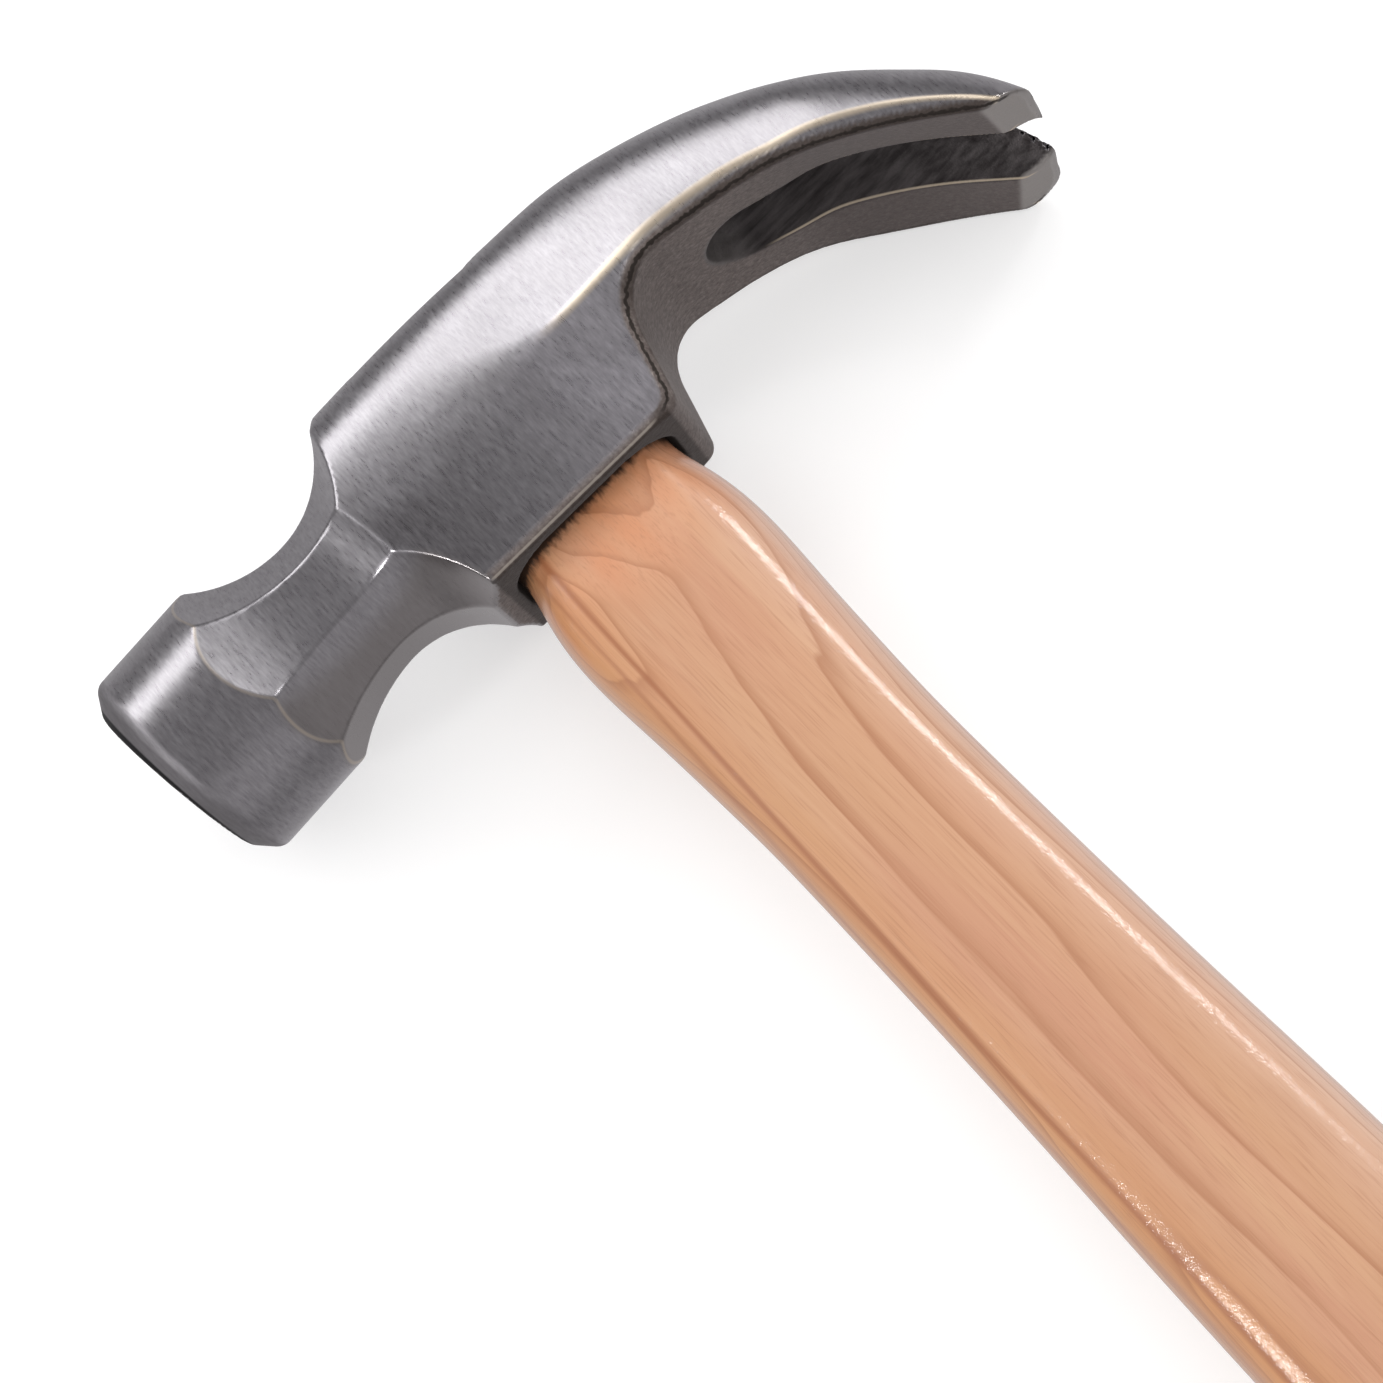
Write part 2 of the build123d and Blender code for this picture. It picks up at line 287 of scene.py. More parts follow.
def neck_term(back, height, z):
    """Eight hollow facets ground round the neck."""
    waist_back = NECK_WAIST_X - FACE_X
    hollow = None
    for degrees, waist, bell_radius, cheek_radius in NECK_FACETS:
        angle = math.radians(degrees)
        out = height * math.cos(angle) + z * math.sin(angle)
        radius = np.where(back < waist_back, bell_radius, cheek_radius)
        facet = radius - np.hypot(back - waist_back, out - waist - radius)
        hollow = facet if hollow is None else smooth_max(hollow, facet, 0.25)
    return hollow


def head_field(x, y, z):
    """Negative inside the forged head, positive outside, in millimetres near its surface."""
    from_slot, z = np.abs(z + SLOT_SHIFT), np.abs(z)
    crown = crown_term(x, y, z)
    side = side_term(x, z)
    lower = lower_term(x, y, z)
    soft_foot = 3.0 - 2.8 * ramp(x, -12.0, 14.0)
    body = smooth_max(crown, side, soft_foot)
    body = smooth_max(body, lower, 0.35)
    chamfer = 0.3 + 0.6 * ramp(x, 11.0, 14.0) - 0.5 * ramp(x, 18.0, 24.0)
    body = smooth_max(body, (side + lower) * math.sqrt(0.5) + chamfer, 0.35)
    body = np.maximum(body, -30.0 - x)
    back, height = poll_axes(x, y)
    body = np.minimum(body, bell_term(back, height, z))
    body = smooth_max(body, neck_term(back, height, z), 0.3)
    body = smooth_max(body, bevel_term(x, y), 0.3)
    body = smooth_max(body, slot_term(x, y, from_slot), 0.3)
    return smooth_max(body, -eye_term(x, y, z), 0.5)


# ------------------------------------------------------------------ meshing a field

def gradient(field, points, step=0.02):
    columns = []
    for axis in range(3):
        shift = np.zeros(3)
        shift[axis] = step
        ahead, behind = points + shift, points - shift
        columns.append((field(*ahead.T) - field(*behind.T)) / (2 * step))
    return np.stack(columns, 1)


def unit(vectors):
    return vectors / np.maximum(np.linalg.norm(vectors, axis=1, keepdims=True), 1e-9)


def crossings(values, axis, low, step):
    """Grid edges along one axis that cross the surface: their lower corners and the crossing points."""
    behind = np.take(values, np.arange(values.shape[axis] - 1), axis)
    ahead = np.take(values, np.arange(1, values.shape[axis]), axis)
    corner = np.argwhere((behind < 0) != (ahead < 0))
    first = behind[tuple(corner.T)]
    second = ahead[tuple(corner.T)]
    points = low + step * corner
    points[:, axis] += step * first / (first - second)
    return corner, points, first < 0


def contour(field, low, high, step):
    """Dual contouring: one vertex in each cell that the surface crosses, drawn onto its crisp edges."""
    low = np.array(low, float)
    counts = np.ceil((np.array(high) - low) / step).astype(int) + 1
    axes = [low[i] + step * np.arange(counts[i]) for i in range(3)]
    values = field(axes[0][:, None, None], axes[1][None, :, None], axes[2][None, None, :])
    cells = counts - 1
    size = int(np.prod(cells))
    total = np.zeros((13, size))
    faces = []
    for axis in range(3):
        corner, points, inside_first = crossings(values, axis, low, step)
        u, v = (axis + 1) % 3, (axis + 2) % 3
        room = (corner[:, u] > 0) & (corner[:, v] > 0) & (corner[:, u] < cells[u]) & (corner[:, v] < cells[v])
        corner, points, inside_first = corner[room], points[room], inside_first[room]
        normal = unit(gradient(field, points))
        plane = (normal * points).sum(1)
        parts = [np.ones(len(points)), *points.T]
        parts += [normal[:, i] * normal[:, j] for i, j in ((0, 0), (0, 1), (0, 2), (1, 1), (1, 2), (2, 2))]
        parts += [normal[:, i] * plane for i in range(3)]
        ring = []
        for du, dv in ((1, 1), (0, 1), (0, 0), (1, 0)):
            cell = corner.copy()
            cell[:, u] -= du
            cell[:, v] -= dv
            index = np.ravel_multi_index(cell.T, cells)
            ring.append(index)
            for row, part in enumerate(parts):
                total[row] += np.bincount(index, part, size)
        quad = np.stack(ring, 1)
        quad[~inside_first] = quad[~inside_first][:, ::-1]
        faces.append(quad)
    used = np.flatnonzero(total[0])
    count, middle = total[0, used], total[1:4, used] / total[0, used]
    pull = 0.06 * count
    matrix = np.empty((len(used), 3, 3))
    for row, (i, j) in enumerate(((0, 0), (0, 1), (0, 2), (1, 1), (1, 2), (2, 2))):
        matrix[:, i, j] = matrix[:, j, i] = total[4 + row, used]
    right = total[10:13, used] + pull * middle
    for i in range(3):
        matrix[:, i, i] += pull
    place = np.linalg.solve(matrix, right.T[:, :, None])[:, :, 0]
    home = low + step * (np.stack(np.unravel_index(used, cells), 1) + 0.5)
    place = np.clip(place, home - 0.6 * step, home + 0.6 * step)
    order = np.full(size, -1)
    order[used] = np.arange(len(used))
    return place, order[np.concatenate(faces)]


# ------------------------------------------------------------------ pieces

handle_low, handle_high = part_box("handle")
axis_place = np.array([
    (handle_low.x + handle_high.x) / 2, handle_low.y - BUTT_Y * MM, (handle_low.z + handle_high.z) / 2,
])


def to_frame(points):
    return np.asarray(points) * MM + axis_place


def new_piece(name, points, faces, normals=None, marks=None):
    """A mesh object in the row's frame, smooth shaded, with named marks on its vertices for the material."""
    mesh = bpy.data.meshes.new(name)
    mesh.from_pydata(to_frame(points).tolist(), [], faces)
    mesh.shade_smooth()
    for label, values in (marks or {}).items():
        layer = mesh.attributes.new(label, "FLOAT", "POINT")
        layer.data.foreach_set("value", np.ascontiguousarray(values, np.float32))
    if normals is not None:
        mesh.normals_split_custom_set_from_vertices(normals.tolist())
    piece = bpy.data.objects.new(name, mesh)
    bpy.context.scene.collection.objects.link(piece)
    return piece


def head_marks(points):
    """Marks for the steel: where the head is raw, cut or dark (the eye's painted shade among them), and the
    distance from its crisp edges, where highlights and crease shade are painted.
    """
    x, y, z = points[:, 0], points[:, 1], np.abs(points[:, 2])
    from_slot = np.abs(points[:, 2] + SLOT_SHIFT)
    side, lower, crown = side_term(x, z), lower_term(x, y, z), crown_term(x, y, z)
    back, height = poll_axes(x, y)
    barrel = np.hypot(height, z) - BELL_RADIUS
    neck, bevel, slot = neck_term(back, height, z), bevel_term(x, y), slot_term(x, y, from_slot)

    def near(a, b):
        return ramp(np.minimum(a, b), -1.2, -0.6)

    corner = ramp(np.minimum(side, lower), -1.8, -1.3)
    raw = ramp(lower - np.maximum(np.maximum(side, crown), neck), -1.5, -0.9) * (x > -30.0)
    raw *= 1 - ramp(neck, -0.5, 0.0)
    behind_cheek = ramp(-y, -2.0, 0.0) * ramp(x, 11.5, 14.0)
    chamfer = ramp((side + lower) * 0.7, -0.95, -0.75) * behind_cheek
    chamfer *= ramp(np.minimum(side, lower), -2.0, -1.6)
    # painted shade: the eye's mouth and the chamfer's crease are marked for near-black steel, along with the
    # eye itself
    mouth = ramp(-y, 13.2, 13.7) * (np.abs(x) < 14.0) * ramp(side, -0.1, -0.5)
    eye = np.maximum(ramp(-eye_term(x, y, z), -0.5, -0.1), np.maximum(0.75 * mouth, 0.6 * chamfer))
    off_neck = ramp(-neck, 0.1, 0.4) * (x > -26.0)
    return {
        "raw": raw,
        "slot": ramp(slot, -0.6, -0.1),
        "bevel": ramp(bevel, -0.5, -0.1),
        "eye": eye,
        "under_neck": ramp(-height, 6.0, 9.0) * ramp(neck, -0.5, 0.0),
        "from_face": back + 50.0 * (np.hypot(height, z) < FACE_FLAT_RADIUS - 0.4),
        # where the cheek's painted reflection goes
        "cheek": ramp(side, -0.35, -0.1) * ramp(-x, -22.0, -15.0) * off_neck,
        # where edge highlights and the crease's shade are painted
        "from_notch": lower - side + 0.1,
        "near_notch": corner * ramp(x, 12.0, 15.0),
        "near_cheek_edge": corner * ramp(-x, -13.0, -11.0) * off_neck,
        "from_crown_edge": crown - side,
        "near_crown_edge": near(crown, side) * ramp(x, 8.0, 16.0),
        "from_slot_edge": lower - slot,
        "near_slot_edge": near(lower, slot) * ramp(x, 36.0, 40.0),
        "from_scallop": neck - barrel,
        "near_scallop": near(neck, barrel) * (back < BELL_LENGTH - 6.0),
    }


def make_head():
    step = HEAD_MESH_STEP
    half_layers = math.ceil(HEAD_BOX_HALF_Z / step)
    reach = (half_layers + 0.5) * step
    points, faces = contour(head_field, (*HEAD_BOX_LOW, -reach), (*HEAD_BOX_HIGH, reach), step)
    slope = gradient(head_field, points)
    length = np.maximum((slope**2).sum(1, keepdims=True), 0.2)
    points = points - np.clip(head_field(*points.T)[:, None], -0.1, 0.1) * slope / length
    normals = unit(gradient(head_field, points, 0.06))
    return new_piece("hammer_head_forged", points, faces.tolist(), normals, head_marks(points))


# Half the handle's depth along X and half its width along Z, by height.
HANDLE_HALF_X = through(
    (BUTT_Y, 17.0), (-280, 16.2), (-235, 15.0), (-180, 15.6), (-136, 14.9), (-119.4, 14.4), (-102, 13.7),
    (-84, 13.15), (-65.8, 12.8), (-56.5, 12.75), (-47, 13.05), (-37.6, 13.5), (-28, 13.95), (-23, 13.7),
    (-20.3, 13.3), (-17.6, 12.7), (-14.4, 12.0), (-10, 12.0),
)
HANDLE_HALF_Z = through(
    (BUTT_Y, 12.6), (-280, 12.2), (-235, 11.6), (-180, 11.9), (-136, 11.3), (-110, 10.6), (-85, 9.95),
    (-60, 9.8), (-40, 10.2), (-26.5, 10.5), (-10, 10.5),
)


def handle_field(x, y, z, inset=0.0):
    """The grip's section: round sides, gently crowned flats and, near the head, whittled facets."""
    z = np.abs(z)
    half_x, half_z = HANDLE_HALF_X(y) - inset, HANDLE_HALF_Z(y) - inset
    sides = np.hypot(x, z * 0.97) - half_x
    flat = np.hypot(x - FLAT_CENTRE_X, z + FLAT_RADIUS - half_z) - FLAT_RADIUS
    grip = smooth_max(sides, flat, 2.2)
    facet = (z - SHOULDER_HALF_Z + SHOULDER_SLOPE * (y - SHOULDER_Y)) / math.hypot(1.0, SHOULDER_SLOPE)
    side_facet = np.abs(x - 0.5) * 0.94 + z * 0.34 - 13.6 + 0.22 * (y + 14.0)
    facet = smooth_max(facet, side_facet, 0.6)
    return smooth_max(grip, facet, 0.35)


def tenon_field(x, y, z):
    """The whittled root below the rim, turning into the tenon that fills the eye."""
    inside = ramp(y, -14.0, -9.0)
    return (1 - inside) * handle_field(x, y, z) + inside * eye_term(x, y, z, FIT_GAP)


def radii(field, heights, angles):
    """How far the surface lies from the handle's axis, by halving, for each height and angle."""
    y, angle = np.broadcast_arrays(heights, angles)
    low, high = np.full(y.shape, 1.0), np.full(y.shape, 24.0)
    for _ in range(26):
        middle = (low + high) / 2
        inside = field(middle * np.cos(angle), y, middle * np.sin(angle)) < 0
        low, high = np.where(inside, middle, low), np.where(inside, high, middle)
    return low


def crown_height(x, z):
    """Height of the crown's surface over a point of the eye, by halving."""
    low, high = np.full(x.shape, 5.0), np.full(x.shape, 24.0)
    for _ in range(24):
        middle = (low + high) / 2
        inside = crown_term(x, middle, np.abs(z)) < 0
        low, high = np.where(inside, middle, low), np.where(inside, high, middle)
    return low


def make_handle():
    columns = HANDLE_COLUMNS
    angle = np.arange(columns) * 2 * math.pi / columns
    rings = []

    def add(radius, height):
        height = np.broadcast_to(height, radius.shape)
        rings.append(np.stack([radius * np.cos(angle), height, radius * np.sin(angle)], 1))

    end_radius = radii(lambda x, y, z: handle_field(x, y, z, BUTT_ROUND), BUTT_Y, angle)
    for part in np.linspace(0.04, 0.96, 12):
        add(end_radius * part, BUTT_Y)
    for turn in np.linspace(0.0, math.pi / 2, 12)[:-1]:
        inset = BUTT_ROUND * (1 - math.sin(turn))
        height = BUTT_Y + BUTT_ROUND * (1 - math.cos(turn))
        add(radii(lambda x, y, z: handle_field(x, y, z, inset), height, angle), height)
    for height in np.arange(BUTT_Y + BUTT_ROUND, GRIP_END_Y, 1.2):
        add(radii(handle_field, height, angle), height)
    for height in np.arange(GRIP_END_Y, ROOT_END_Y, 0.4):
        add(radii(tenon_field, height, angle), height)
    rim_radius = radii(tenon_field, 18.0, angle)
    rim_height = crown_height(rim_radius * np.cos(angle), rim_radius * np.sin(angle)) - TENON_SET_BACK
    for part in np.linspace(0.0, 1.0, 30)[1:]:
        height = ROOT_END_Y + part * (rim_height - ROOT_END_Y)
        add(radii(tenon_field, height, angle), height)
    last_radius = np.hypot(rings[-1][:, 0], rings[-1][:, 2])
    for part in np.linspace(1.0, 0.04, 24)[1:]:
        radius = last_radius * part
        add(radius, crown_height(radius * np.cos(angle), radius * np.sin(angle)) - TENON_SET_BACK)
    points = np.concatenate(rings)
    rows = len(rings)
    lower = np.arange(rows - 1)[:, None] * columns + np.arange(columns)[None, :]
    across = np.arange(rows - 1)[:, None] * columns + (np.arange(columns)[None, :] + 1) % columns
    quads = np.stack([lower, lower + columns, across + columns, across], -1).reshape(-1, 4).tolist()
    caps = [list(range(columns)), list(range(rows * columns - 1, (rows - 1) * columns - 1, -1))]
    return new_piece("hickory_handle", points, quads + caps)


def cutter(name, foot, top, half_width, turned, x=0.0):
    """A wedge-shaped cutting tool, open above its top; turned for a cut that lies along X."""
    (foot_y, foot_half), (top_y, top_half) = foot, top
    above = HEAD_TOP + 4.0
    rows = ((foot_y - CUT_SPARE, foot_half), (top_y, top_half), (above, top_half))
    points = []
    for height, half in rows:
        for a, b in ((-1, -1), (1, -1), (1, 1), (-1, 1)):
            thin, wide = a * (half + CUT_SPARE), b * (half_width + CUT_SPARE)
            points.append((x + wide, height, thin) if turned else (x + thin, height, wide))
    faces = [(0, 1, 2, 3), (11, 10, 9, 8)]
    for row in (0, 4):
        for i in range(4):
            j = (i + 1) % 4
            faces.append((row + i, row + 4 + i, row + 4 + j, row + j))
    tool = new_piece(name, points, faces)
    shape = bmesh.new()
    shape.from_mesh(tool.data)
    bmesh.ops.recalc_face_normals(shape, faces=shape.faces)
    shape.to_mesh(tool.data)
    shape.free()
    return tool


def cut_wedge_slots(piece):
    """Takes the saw kerf and the steel wedges' pockets out of the tenon."""
    tools = [cutter("kerf", *KERF, turned=True)]
    tools += [cutter("pocket", *POCKET, turned=False, x=side * POCKET_X) for side in (-1, 1)]
    for tool in tools:
        step = piece.modifiers.new("cut", "BOOLEAN")
        step.operation = "DIFFERENCE"
        step.solver = "EXACT"
        step.object = tool
    graph = bpy.context.evaluated_depsgraph_get()
    mesh = bpy.data.meshes.new_from_object(piece.evaluated_get(graph))
    piece.modifiers.clear()
    piece.data = mesh
    mesh.set_sharp_from_angle(angle=math.radians(40.0))
    for tool in tools:
        bpy.data.objects.remove(tool)


# ------------------------------------------------------------------ node helpers

class Nodes:
    """Short calls for building one material's nodes."""

    def __init__(self, name):
        self.material = bpy.data.materials.new(name)
        self.material.use_nodes = True
        self.tree = self.material.node_tree
        self.shader = self.tree.nodes["Principled BSDF"]

    def add(self, kind, settings=None, **inputs):
        node = self.tree.nodes.new(kind)
        for key, value in (settings or {}).items():
            setattr(node, key, value)
        for key, value in inputs.items():
            self.feed(node.inputs[int(key[1:]) if key[0] == "_" else key], value)
        return node

    def feed(self, socket, value):
        if isinstance(value, bpy.types.NodeSocket):
            self.tree.links.new(value, socket)
        else:
            socket.default_value = value

    def place(self, scale):
        """Object coordinates in millimetres times scale."""
        coordinates = self.add("ShaderNodeTexCoord").outputs["Object"]
        size = tuple(s / MM for s in scale)
        mapping = self.add("ShaderNodeMapping", None, Vector=coordinates, Scale=size)
        return mapping.outputs[0]

    def axes(self):
        """X, Y and Z in millimetres about the handle's axis."""
        coordinates = self.add("ShaderNodeTexCoord").outputs["Object"]
        size = (1.0 / MM, 1.0 / MM, 1.0 / MM)
        start = tuple(float(-a / MM) for a in axis_place)
        mapping = self.add("ShaderNodeMapping", None, Vector=coordinates, Location=start, Scale=size)
        return self.add("ShaderNodeSeparateXYZ", None, Vector=mapping.outputs[0]).outputs

    def noise(self, scale, detail=2.0, roughness=0.5):
        looks = {"Detail": detail, "Roughness": roughness}
        node = self.add("ShaderNodeTexNoise", None, Vector=self.place(scale), Scale=1.0, **looks)
        return node.outputs["Fac"]

    def mark(self, name):
        return self.add("ShaderNodeAttribute", {"attribute_name": name}).outputs["Fac"]

    def math(self, operation, a, b=0.0, c=0.0):
        return self.add("ShaderNodeMath", {"operation": operation}, _0=a, _1=b, _2=c).outputs[0]

    def times(self, a, b):
        return self.math("MULTIPLY", a, b)

    def plus(self, a, b):
        return self.math("ADD", a, b)

    def most(self, a, b):
        return self.math("MAXIMUM", a, b)

    def size(self, a):
        return self.math("ABSOLUTE", a)

    def stretch(self, value, low, high, to_low=0.0, to_high=1.0):
        """The value's way from low to high, clamped, and spread from to_low to to_high."""
        ends = {"_1": low, "_2": high, "_3": to_low, "_4": to_high}
        return self.add("ShaderNodeMapRange", {"clamp": True}, _0=value, **ends).outputs[0]

    def mix(self, factor, a, b):
        node = self.add("ShaderNodeMix", {"data_type": "RGBA"})
        self.feed(node.inputs[0], factor)
        self.feed(node.inputs[6], a)
        self.feed(node.inputs[7], b)
        return node.outputs[2]

    def colours(self, value, *stops):
        """A colour ramp through (position, colour) stops."""
        node = self.add("ShaderNodeValToRGB")
        elements = node.color_ramp.elements
        while len(elements) < len(stops):
            elements.new(0.5)
        for element, (position, colour) in zip(elements, stops):
            element.position = position
            element.color = (*colour, 1.0)
        self.feed(node.inputs[0], value)
        return node.outputs[0]

    def bump(self, height, distance, strength=1.0, normal=None):
        node = self.add("ShaderNodeBump", None, Height=height, Distance=distance * MM, Strength=strength)
        if normal is not None:
            self.feed(node.inputs["Normal"], normal)
        return node.outputs[0]

    def finish(self, **inputs):
        for key, value in inputs.items():
            self.feed(self.shader.inputs[key.replace("_", " ")], value)
        return self.material


def brushed_tone_and_painted_reflection(n, strokes, x):
    """Ground steel's colour. On the cheek a painted reflection: duller towards the neck and brighter towards
    the claw.
    """
    # painted reflection: the flat cheek's tone runs from dark by the neck to light by the claw
    along = n.times(n.mark("cheek"), n.stretch(x, 12.0, -15.0, -1.0, 1.0))
    to_neck, to_claw = n.stretch(along, 0.0, 1.0), n.stretch(along, 0.0, -1.0)
    between = n.mix(to_neck, (0.32, 0.305, 0.325, 1), (0.18, 0.17, 0.18, 1))
    between = n.mix(to_claw, between, (0.50, 0.48, 0.515, 1))
    stroke = n.mix(to_neck, (0.49, 0.475, 0.495, 1), (0.34, 0.325, 0.34, 1))
    stroke = n.mix(to_claw, stroke, (0.76, 0.73, 0.775, 1))
    cloud = n.noise((0.16, 0.12, 0.12), 3.0, 0.55)
    shade = n.mix(n.stretch(strokes, 0.3, 0.7), between, stroke)
    return n.mix(n.stretch(cloud, 0.35, 0.7, 0.0, 0.35), shade, (0.31, 0.295, 0.305, 1))


def forge_scale(n, pits, x):
    """The skin left by forging, darker towards the claw's tip."""
    stops = ((0.3, (0.135, 0.108, 0.10)), (0.55, (0.215, 0.18, 0.165)), (0.75, (0.31, 0.27, 0.25)))
    return n.mix(n.stretch(x, 34.0, 46.0, 0.0, 0.6), n.colours(pits, *stops), (0.12, 0.102, 0.098, 1))


def slot_walls(n, x):
    """Streaky dark walls, lighter at the slot's closed end."""
    streaks = n.noise((0.12, 0.9, 0.9), 3.0, 0.6)
    walls = n.colours(streaks, (0.35, (0.035, 0.030, 0.030)), (0.65, (0.10, 0.090, 0.090)))
    return n.mix(n.stretch(x, 36.5, 31.5, 0.0, 0.6), walls, (0.26, 0.24, 0.23, 1))


def painted_edge_highlights_and_crease_shade(n, colour):
    """Painted highlights along the crisp edges, painted shade in the crease along the claw's notched edge,
    and the dark rim of the striking face.
    """
    # painted highlights: light tan lines along the crown's, the slot's and the scallops' edges
    edges = (("crown_edge", 0.24, 0.8), ("slot_edge", 0.24, 0.6), ("scallop", 0.18, 0.3))
    for name, width, strength in edges:
        lit = n.stretch(n.size(n.mark("from_" + name)), width, width * 0.3, 0.0, strength)
        colour = n.mix(n.times(lit, n.mark("near_" + name)), colour, (0.90, 0.76, 0.58, 1))
    from_notch, from_face = n.mark("from_notch"), n.mark("from_face")
    # painted highlight: a light line along the cheek's bottom edge
    lit = n.times(n.stretch(n.size(from_notch), 0.3, 0.15, 0.0, 0.4), n.mark("near_cheek_edge"))
    colour = n.mix(lit, colour, (0.80, 0.72, 0.62, 1))
    # painted shade: a ragged near-black line in the crease along the claw's notched edge
    beads = n.noise((1.5, 1.5, 1.5), 1.0, 0.5)
    ragged = n.size(n.plus(from_notch, n.stretch(beads, 0.3, 0.7, -0.2, 0.2)))
    notch = n.times(n.stretch(ragged, 0.4, 0.22, 0.0, 0.9), n.mark("near_notch"))
    colour = n.mix(notch, colour, (0.03, 0.024, 0.02, 1))
    colour = n.mix(n.stretch(from_face, 3.4, 1.8, 0.0, 0.7), colour, (0.16, 0.15, 0.155, 1))
    return n.mix(n.stretch(from_face, 0.75, 0.55, 0.0, 0.95), colour, (0.012, 0.012, 0.012, 1))


def forged_steel():
    """Belt-ground steel with fine strokes round the head, raw brown-grey scale where it wasn't ground."""
    n = Nodes("forged_steel")
    x = n.axes()["X"]
    strokes = n.noise((3.0, 0.55, 0.55), 3.0, 0.6)
    fine = n.noise((5.0, 1.2, 1.2), 2.0, 0.5)
    pits = n.noise((1.7, 1.7, 1.7), 4.0, 0.65)
    raw, slot, eye = n.mark("raw"), n.mark("slot"), n.mark("eye")
    colour = n.mix(raw, brushed_tone_and_painted_reflection(n, strokes, x), forge_scale(n, pits, x))
    colour = n.mix(n.times(n.mark("under_neck"), 0.7), colour, (0.27, 0.245, 0.235, 1))
    colour = n.mix(slot, colour, slot_walls(n, x))
    colour = n.mix(n.mark("bevel"), colour, (0.38, 0.355, 0.34, 1))
    # the eye's own dark bare steel and painted shade: inside the eye, its mouth and the chamfer's crease go
    # near black
    colour = n.mix(eye, colour, (0.04, 0.028, 0.022, 1))
    colour = painted_edge_highlights_and_crease_shade(n, colour)
    rough = n.stretch(strokes, 0.2, 0.8, 0.25, 0.34)
    for part, roughness in ((raw, 0.55), (slot, 0.5), (eye, 0.6)):
        rough = n.most(rough, n.times(part, roughness))
    rough = n.most(rough, n.stretch(n.mark("from_face"), 4.0, 2.6, 0.0, 0.6))
    height = n.plus(n.times(strokes, 0.75), n.times(fine, 0.25))
    normal = n.bump(n.times(height, n.math("SUBTRACT", 1.0, raw)), 0.03, 0.16)
    normal = n.bump(n.times(pits, n.most(raw, slot)), 0.14, 0.8, normal)
    metal = n.math("SUBTRACT", 1.0, n.times(raw, 0.25))
    return n.finish(Base_Color=colour, Metallic=metal, Roughness=rough, Normal=normal)


def growth_rings(n, x, y, z, ripple):
    """How strongly each point shows a year's thin dark late wood, and the wood that darkens up to it."""
    wander = n.noise((0.040, 0.0065, 0.040), 2.0, 0.45)
    across, below = n.plus(x, -5.0), n.plus(z, 15.0)
    ring = n.math("SQRT", n.plus(n.times(across, across), n.times(below, below)))
    ring = n.plus(ring, n.times(y, 0.022))
    ring = n.plus(ring, n.times(wander, 8.0))
    ring = n.plus(ring, n.times(ripple, 0.7))
    year = n.math("FRACT", n.times(ring, 0.7))
    late = n.times(n.stretch(year, 0.80, 0.96), n.stretch(year, 1.0, 0.97))
    early = n.times(n.stretch(year, 0.0, 0.80), n.stretch(year, 0.97, 0.80))
    return late, early


def plain_hickory(n, x, blotch, fibre):
    """The wood between its lines: pale towards the claw, a painted reflection, and more orange towards the
    poll.
    """
    pale = n.noise((0.16, 0.009, 0.16), 2.0, 0.5)
    colour = n.mix(n.stretch(blotch, 0.35, 0.65), (0.525, 0.285, 0.155, 1), (0.51, 0.250, 0.148, 1))
    colour = n.mix(n.stretch(pale, 0.56, 0.70, 0.0, 0.65), colour, (0.62, 0.385, 0.215, 1))
    colour = n.mix(n.stretch(fibre, 0.3, 0.75, 0.0, 0.5), colour, (0.59, 0.345, 0.205, 1))
    # painted reflection: the claw side of the handle is painted paler, for the light its rounded side mirrors
    colour = n.mix(n.stretch(x, 5.0, 13.0, 0.0, 0.5), colour, (0.70, 0.48, 0.37, 1))
    return n.mix(n.stretch(x, -6.0, -12.5, 0.0, 0.7), colour, (0.56, 0.25, 0.085, 1))


def dark_streak(n, x, y, ripple):
    """A dark line and a weaker one beside it, along the handle's poll side."""
    away = n.plus(n.plus(x, n.times(y, -0.03)), n.math("MULTIPLY_ADD", ripple, 1.4, 7.2))
    line = n.stretch(n.size(away), 0.6, 0.12)
    beside = n.stretch(n.size(n.plus(away, 2.0)), 0.5, 0.1, 0.0, 0.6)
    return n.most(line, beside)


def gap_grime_and_shade(n, x, y):
    """How dark the wood is painted where it goes into the eye, above a ragged edge: grime and painted shade
    from the eye's mouth. The tenon's top is clean.
    """
    fuzz = n.times(n.noise((1.6, 0.5, 1.6), 3.0, 0.6), 2.6)
    height = n.plus(n.plus(y, n.times(x, -0.05)), fuzz)
    return n.times(n.stretch(height, -13.4, -12.2, 0.0, 0.93), n.stretch(y, 12.0, 8.0))


